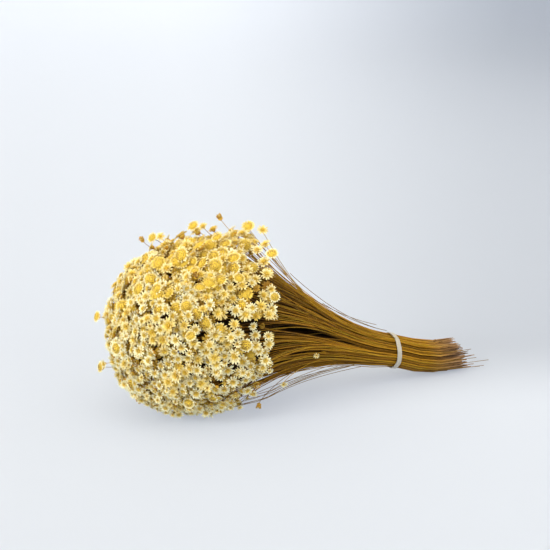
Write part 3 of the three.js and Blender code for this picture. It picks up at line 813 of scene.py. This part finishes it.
def add_whorl(heap, g, whorl, offset, rng):
    """One whorl of bracts on each flower. A bract's middle line starts (out, up) from the flower's centre
    and runs on in the direction (sin lean, cos lean) while its lean changes evenly. Across it, a
    boat-shaped section of three points: both edges, raised, and the keel below. It ends in a point."""
    number, up0, out0, length, lean0, lean1, width, rings, pale, finish = whorl
    count = len(g["radius"])
    shape = (count, number)
    turn = g["spin"][:, None] + 2 * math.pi * (np.arange(number) + offset) / number
    turn = turn + rng.uniform(-0.3, 0.3, shape) * 2 * math.pi / number
    # A closed flower's bracts lean 40 degrees less at the tip, and half as much less at the foot.
    closed = (1 - g["open"])[:, None] * 40
    lean0 = np.radians(lean0 - 0.5 * closed + rng.normal(0, 4, shape))
    lean1 = np.radians(lean1 - closed + rng.normal(0, 8, shape))
    size = g["radius"][:, None] * np.ones(number)
    long = length * size * rng.uniform(0.84, 1.06, shape)
    wide = width * size * rng.uniform(0.85, 1.15, shape)
    stations = np.array([0, 0.04, 0.5, 0.86, 1] if rings == 3 else [0, 0.04, 0.58, 1])
    widths = np.array([0.5, 1, 0.6] if rings == 3 else [0.55, 1])
    middle = (stations[1:] + stations[:-1]) / 2
    lean = lean0[..., None] + (lean1 - lean0)[..., None] * middle
    step = np.diff(stations) * long[..., None]
    zero = np.zeros((*shape, 1))
    out = out0 * size[..., None] + np.concatenate([zero, np.cumsum(step * np.sin(lean), -1)], -1)
    up = up0 * size[..., None] + np.concatenate([zero, np.cumsum(step * np.cos(lean), -1)], -1)
    u, v = axes_of(g["face"])
    radial = np.cos(turn)[..., None] * u[:, None] + np.sin(turn)[..., None] * v[:, None]
    side = -np.sin(turn)[..., None] * u[:, None] + np.cos(turn)[..., None] * v[:, None]
    face = g["face"][:, None, None]
    line = g["place"][:, None, None] + out[..., None] * radial[:, :, None] + up[..., None] * face
    lean_ring = (lean[..., :-1] + lean[..., 1:]) / 2
    square = -np.cos(lean_ring)[..., None] * radial[:, :, None] + np.sin(lean_ring)[..., None] * face
    half = (widths * wide[..., None])[..., None]
    core = line[:, :, 1:-1]
    edge_a = core + half * side[:, :, None] + 0.3 * half * square
    edge_b = core - half * side[:, :, None] + 0.3 * half * square
    keel = core - 0.2 * half * square
    ring = np.stack([edge_a, edge_b, keel], 3)
    points = np.concatenate(
        [line[:, :, :1], ring.reshape(count, number, -1, 3), line[:, :, -1:]], 2
    ).reshape(count * number, -1, 3)
    along = pale * np.concatenate([[0], np.repeat(stations[1:-1], 3), [1]])
    tint = rng.uniform(0, 1, count * number)[:, None]
    warmth = np.repeat(g["warmth"], number)[:, None]
    heap.add(points, spindle(rings, 3), finish, along[None], tint, warmth)


def lathe_points(g, outs, ups, sides, bumps):
    """Points of a turned shape on each flower: a first point on the axis, rings at (out, up), and a last
    point on the axis. outs and ups are shares of the flower's radius; bumps (N, rings, sides) scales single
    ring points."""
    count = len(g["radius"])
    u, v = axes_of(g["face"])
    turn = g["spin"][:, None, None] + 2 * math.pi * np.arange(sides) / sides
    around = np.cos(turn)[..., None] * u[:, None, None] + np.sin(turn)[..., None] * v[:, None, None]
    size = g["radius"][:, None, None, None]
    out = outs[None, :, None, None] * bumps[..., None]
    face = g["face"][:, None, None]
    rings = g["place"][:, None, None] + size * (out * around + ups[None, 1:-1, None, None] * face)
    ends = g["place"][:, None] + size[:, 0] * ups[[0, -1], None] * g["face"][:, None]
    return np.concatenate([ends[:, :1], rings.reshape(count, -1, 3), ends[:, 1:]], 1)


def add_middle(heap, g, kind, rng):
    """The floret head: a low dome, out = r cos(a) and up = foot + h sin(a), uneven and closed below."""
    radius, height, foot = MIDDLES[kind]
    rings, sides = (3, 10) if kind == GOLDEN else (2, 7)
    angle = np.linspace(0, 0.42 * math.pi, rings)
    outs = radius * np.cos(angle)
    ups = np.concatenate([[foot - 0.1], foot + height * np.sin(angle), [foot + height]])
    count = len(g["radius"])
    bumps = rng.uniform(0.88, 1.1, (count, rings, sides))
    points = lathe_points(g, outs, ups, sides, bumps)
    along = np.concatenate([[0], np.repeat(angle / angle[-1], sides), [1]])
    warm = np.full(count, {GOLDEN: 1.0, STAR: 0.7}.get(kind, 0.1))
    heap.add(points, spindle(rings, sides), DISC, along[None], g["tint"][:, None], warm[:, None])


def add_cup(heap, g, kind, rng):
    """The cup of dry scales under the bracts: rings widen from the straw to the rim, closed on top."""
    outs = CUPS[kind] * np.array([0.5, 0.9, 1.0])
    ups = np.array([CUP_FOOT, -0.45, -0.28, -0.02, 0.03])
    sides = 7
    count = len(g["radius"])
    bumps = rng.uniform(0.9, 1.1, (count, 3, sides))
    points = lathe_points(g, outs, ups, sides, bumps)
    along = np.concatenate([[0], np.repeat([0, 0.3, 1], sides), [1]])
    heap.add(points, spindle(3, sides), CUP, along[None], g["tint"][:, None], g["warmth"][:, None])


def spray(number, grown, stalks, materials):
    """One spray: its flowers with bracts, middles, cups and the upper ends of their straws."""
    rng = np.random.default_rng(100 + number)
    heap = Heap()
    mine = grown["spray"] == number
    for kind, whorls in WHORLS.items():
        pick = mine & (grown["kind"] == kind)
        if not pick.any():
            continue
        g = {name: value[pick] for name, value in grown.items()}
        for i, whorl in enumerate(whorls):
            add_whorl(heap, g, whorl, 0.5 * i, rng)
        add_middle(heap, g, kind, rng)
        add_cup(heap, g, kind, rng)
    paths = stalks["paths"][mine]
    heap.add(
        tubes(paths, stalks["radii"], 5),
        spindle(paths.shape[1], 5),
        STALK,
        1.0,
        grown["tint"][mine][:, None],
        stalks["warmth"][mine][:, None],
    )
    made = heap.piece("star_flowers_%02d" % (number + 1), materials, flat=(BRACT,))
    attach(made, "root")
    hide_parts("flowers_%02d" % (number + 1))
    return made


# ---- Operators ----
def grow(scene):
    """Flowers, straw lines, the straws' shares of the fan, and the radii along a straw."""
    grown = grow_flowers(scene.flower_settings)
    paths, share = straw_paths(grown, np.random.default_rng(23))
    s, last = scene.straw_settings, STRAW_POINTS - 1
    ends = [s.thickness / 2 / MM, s.tip_thickness / 2 / MM]
    return grown, paths, share, np.interp(np.arange(STRAW_POINTS), [0, last], ends)


class BUNCH_OT_straws(bpy.types.Operator):
    """Adds the straws, from their cut ends through the band and the fan to just under the flowers"""

    bl_idname = "bunch.straws"
    bl_label = "Straws"

    def execute(self, context):
        s = context.scene.straw_settings
        grown, paths, share, taper = grow(context.scene)
        paths, taper = paths[:, :LOWER_POINTS], taper[:LOWER_POINTS]
        heap = Heap()
        reach = -paths[:, :, 0]
        along = np.clip((reach - CUT_REACH + 20) / 380, 0, 1)
        # The straws that show from outside are rounder.
        for outer, sides in ((True, 5), (False, 4)):
            pick = (share > 0.7) == outer
            # Painted shade: the deeper a straw lies, the lower its warmth, so the darker it is.
            heap.add(
                tubes(paths[pick], taper, sides),
                spindle(LOWER_POINTS, sides),
                0,
                along_tubes(along[pick], sides),
                grown["tint"][pick][:, None],
                ease((share[pick] - 0.66) / 0.3)[:, None],
            )
        turn, reach0, out0, reach1, out1 = np.array(LOOSE_STRAWS).T[..., None]
        t = np.linspace(0, 1, LOWER_POINTS)
        reach, turn = reach0 + (reach1 - reach0) * t, np.radians(turn)
        loose = at(reach, fan_radius(reach, turn) + out0 + (out1 - out0) * t, turn)
        # The low ones, which end in the dome, run straighter than the fan.
        straight = np.where(reach0 > 180, 0.7, 0.15)[..., None]
        loose += straight * (loose[:, :1] + (loose[:, -1:] - loose[:, :1]) * t[:, None] - loose)
        loose[:, :, 2] = np.maximum(loose[:, :, 2], STRAW_CLEARANCE)
        heap.add(tubes(loose, taper[-1], 5), spindle(LOWER_POINTS, 5), 0, 0.9, 0.85, 0.35)
        made = heap.piece("straws", [dry_straw(s)])
        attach(made, "root")
        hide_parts("straw_bundle")
        return {"FINISHED"}


class BUNCH_OT_flowers(bpy.types.Operator):
    """Adds the papery flowers, one piece for each spray of neighbouring flowers"""

    bl_idname = "bunch.flowers"
    bl_label = "Flowers"

    def execute(self, context):
        s, straw = context.scene.flower_settings, context.scene.straw_settings
        grown, paths, _, taper = grow(context.scene)
        first = LOWER_POINTS - 1
        stalks = {"paths": paths[:, first:], "radii": taper[first:], "warmth": 0.6 + 0.4 * grown["tint"]}
        materials = [papery_bract(s), floret_disc(s), dry_cup(s), dry_straw(straw)]
        for number in range(SPRAYS):
            spray(number, grown, stalks, materials)
        return {"FINISHED"}


class BUNCH_OT_band(bpy.types.Operator):
    """Adds the flat elastic band round the straws"""

    bl_idname = "bunch.band"
    bl_label = "Elastic band"

    def execute(self, context):
        s = context.scene.band_settings
        heap = Heap()
        sides, across = 144, 12
        half, thick = s.width / 2 / MM, s.thickness / MM
        # The section is a rounded oblong: |x / a|^4 + |y / b|^4 = 1, walked round by angle.
        angle = 2 * math.pi * np.arange(across) / across
        c, q = np.cos(angle), np.sin(angle)
        scale = (np.abs(c) ** 4 + np.abs(q) ** 4) ** -0.25
        offset_x, offset_r = half * c * scale, thick / 2 * q * scale
        inside = TIE_RADIUS - WAIST * (WAIST_LENGTH - half) / WAIST_LENGTH + 0.4
        turn = 2 * math.pi * np.arange(sides) / sides
        sway = 0.25 * np.sin(2 * turn + 1) + 0.15 * np.sin(5 * turn)
        bulge = 0.12 * np.sin(9 * turn) + 0.08 * np.sin(23 * turn + 2)
        reach = offset_x[None] + sway[:, None]
        radius = inside + thick / 2 + offset_r[None] + bulge[:, None]
        points = at(reach, radius, turn[:, None]).reshape(1, -1, 3)
        i, j = np.meshgrid(np.arange(sides), np.arange(across), indexing="ij")
        a, b = i * across + j, i * across + (j + 1) % across
        d, e = (i + 1) % sides * across + j, (i + 1) % sides * across + (j + 1) % across
        triangles = np.stack([np.stack([a, b, e], -1), np.stack([a, e, d], -1)], 2).reshape(-1, 3)
        along = np.tile(0.5 + offset_x / (2 * half), sides)[None]
        heap.add(points, triangles, 0, along, 0.5, 0.5)
        made = heap.piece("elastic", [covered_elastic(s)])
        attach(made, "root")
        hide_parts("elastic_band")
        return {"FINISHED"}


class BUNCH_OT_stage(bpy.types.Operator):
    """Adds the camera, the lamps, the pale floor and the light of the room"""

    bl_idname = "bunch.stage"
    bl_label = "Stage"

    def execute(self, context):
        s = context.scene.stage_settings
        scene = context.scene
        c, q = math.cos(CAMERA_AZIMUTH), math.sin(CAMERA_AZIMUTH)
        right, ahead = Vector((c, q, 0)), Vector((-q, c, 0))
        level = math.cos(CAMERA_ELEVATION)
        back = Vector((q * level, -c * level, math.sin(CAMERA_ELEVATION)))
        target = Vector(((TIE_X + AIM[0]) * MM, TIE_Y * MM, AIM[2] * MM))
        camera = bpy.data.objects.new("camera", bpy.data.cameras.new("camera"))
        camera.data.lens = s.lens
        camera.data.sensor_width = 36
        camera.location = target + back * s.distance
        camera.rotation_euler = (-back).to_track_quat("-Z", "Y").to_euler()
        scene.collection.objects.link(camera)
        scene.camera = camera
        # Each lamp: its name, the way to it, the angle that it fills in degrees, and its strength.
        for name, towards, angle, strength in (
            ("key", -right * 1.2 - ahead * 0.95 + Vector((0, 0, 0.28)), 40, 15.5),
            ("fill", right * 0.15 - ahead * 1.0, 60, 5.6),
            ("overhead", right * 0.3 - ahead * 0.6 + Vector((0, 0, 1)), 60, 0.7),
        ):
            lamp = bpy.data.objects.new(name, bpy.data.lights.new(name, "SUN"))
            lamp.data.angle = math.radians(angle)
            lamp.data.energy = strength
            lamp.location = target + towards
            lamp.rotation_euler = (-towards).to_track_quat("-Z", "Y").to_euler()
            scene.collection.objects.link(lamp)
        # A room with warm walls.
        scene.world = bpy.data.worlds.new("room")
        scene.world.use_nodes = True
        light = scene.world.node_tree.nodes["Background"].inputs
        light["Color"].default_value = (1.0, 0.9, 0.68, 1.0)
        light["Strength"].default_value = 1.04
        scene.view_settings.view_transform = "Standard"
        self.floor(scene, s, target, right, ahead)
        return {"FINISHED"}

    def floor(self, scene, s, target, right, ahead):
        """A wide floor that curves up all round, just under the bunch: height 3.5 ease((r - 2.6) / 5.4)^2
        at the radius r. Its colour fades to a painted shade behind the bunch, more to the right."""
        rings, sides = 60, 128
        radii = np.concatenate([[0.0], np.geomspace(0.05, 8, rings)])
        turn = 2 * math.pi * np.arange(sides) / sides
        r, a = np.meshgrid(radii, turn, indexing="ij")
        x, y = target.x + r * np.cos(a), target.y + r * np.sin(a)
        z = -0.0003 + 3.5 * ease((r - 2.6) / 5.4) ** 2
        points = np.stack([x, y, z], -1)
        i, j = np.meshgrid(np.arange(1, rings) * sides, np.arange(sides), indexing="ij")
        k = (j + 1) % sides
        quads = np.stack([i + j, i + sides + j, i + sides + k, i + k], -1).reshape(-1, 4)
        centre = np.stack([0 * j[0], sides + j[0], sides + k[0]], -1)
        mesh = bpy.data.meshes.new("floor")
        mesh.from_pydata(points.reshape(-1, 3).tolist(), [], quads.tolist() + centre.tolist())
        # The painted shade lies to the side and behind the bunch, as the camera sees it from nearly 1.5 m
        # away.
        side = (x - target.x) * right.x + (y - target.y) * right.y
        depth = (x - target.x) * ahead.x + (y - target.y) * ahead.y
        sidewards = side / np.maximum(depth + 1.46, 0.6)
        far = ease((depth - 0.3) / 5)
        shade = ease((depth + 0.04) / 0.26) * (0.04 + (0.36 + 0.6 * far) * ease((sidewards + 0.07) / 0.26))
        attribute = mesh.attributes.new("shade", "FLOAT", "POINT")
        attribute.data.foreach_set("value", shade.astype(np.float32).ravel())
        mesh.polygons.foreach_set("use_smooth", np.ones(len(mesh.polygons), bool))
        material, tree, painted_shade_amount = new_material("matt paper floor", ["shade"])
        # The floor fades into its painted shade.
        tones = {0: painted_shade_amount, 6: opaque(s.floor), 7: opaque(s.painted_floor_shade)}
        colour = add_node(tree, "ShaderNodeMix", tones, **BLEND)
        # The paper glows evenly with painted light, which also lightens the shadows on it.
        painted_glow = {"Emission Color": colour, "Emission Strength": 1.25}
        shader = add_node(tree, "ShaderNodeBsdfPrincipled", {"Base Color": colour, "Roughness": 0.9, **painted_glow})
        add_node(tree, "ShaderNodeOutputMaterial", {"Surface": shader})
        mesh.materials.append(material)
        made = bpy.data.objects.new("floor", mesh)
        scene.collection.objects.link(made)


class BUNCH_PT_panel(bpy.types.Panel):
    """Lists the pieces of the bunch"""

    bl_idname = "BUNCH_PT_panel"
    bl_label = "Flower Bunch"
    bl_space_type = "VIEW_3D"
    bl_region_type = "UI"
    bl_category = "Flower Bunch"

    def draw(self, context):
        for group, operator in (
            ("straw_settings", "bunch.straws"),
            ("flower_settings", "bunch.flowers"),
            ("band_settings", "bunch.band"),
            ("stage_settings", "bunch.stage"),
        ):
            box = self.layout.box()
            settings = getattr(context.scene, group)
            for name in settings.__annotations__:
                box.prop(settings, name)
            box.operator(operator)


SETTINGS = {
    "flower_settings": FlowerSettings,
    "straw_settings": StrawSettings,
    "band_settings": BandSettings,
    "stage_settings": StageSettings,
}
CLASSES = (
    *SETTINGS.values(),
    BUNCH_OT_straws,
    BUNCH_OT_flowers,
    BUNCH_OT_band,
    BUNCH_OT_stage,
    BUNCH_PT_panel,
)


def register():
    """Registers the classes, and gives every scene its settings."""
    for cls in CLASSES:
        bpy.utils.register_class(cls)
    for name, group in SETTINGS.items():
        setattr(bpy.types.Scene, name, bpy.props.PointerProperty(type=group))


def unregister():
    """Takes back what register did."""
    for name in SETTINGS:
        delattr(bpy.types.Scene, name)
    for cls in reversed(CLASSES):
        bpy.utils.unregister_class(cls)


def main():
    """Makes the bunch and its stage."""
    register()
    bpy.ops.bunch.straws()
    bpy.ops.bunch.flowers()
    bpy.ops.bunch.band()
    bpy.ops.bunch.stage()


if __name__ == "__main__":
    main()
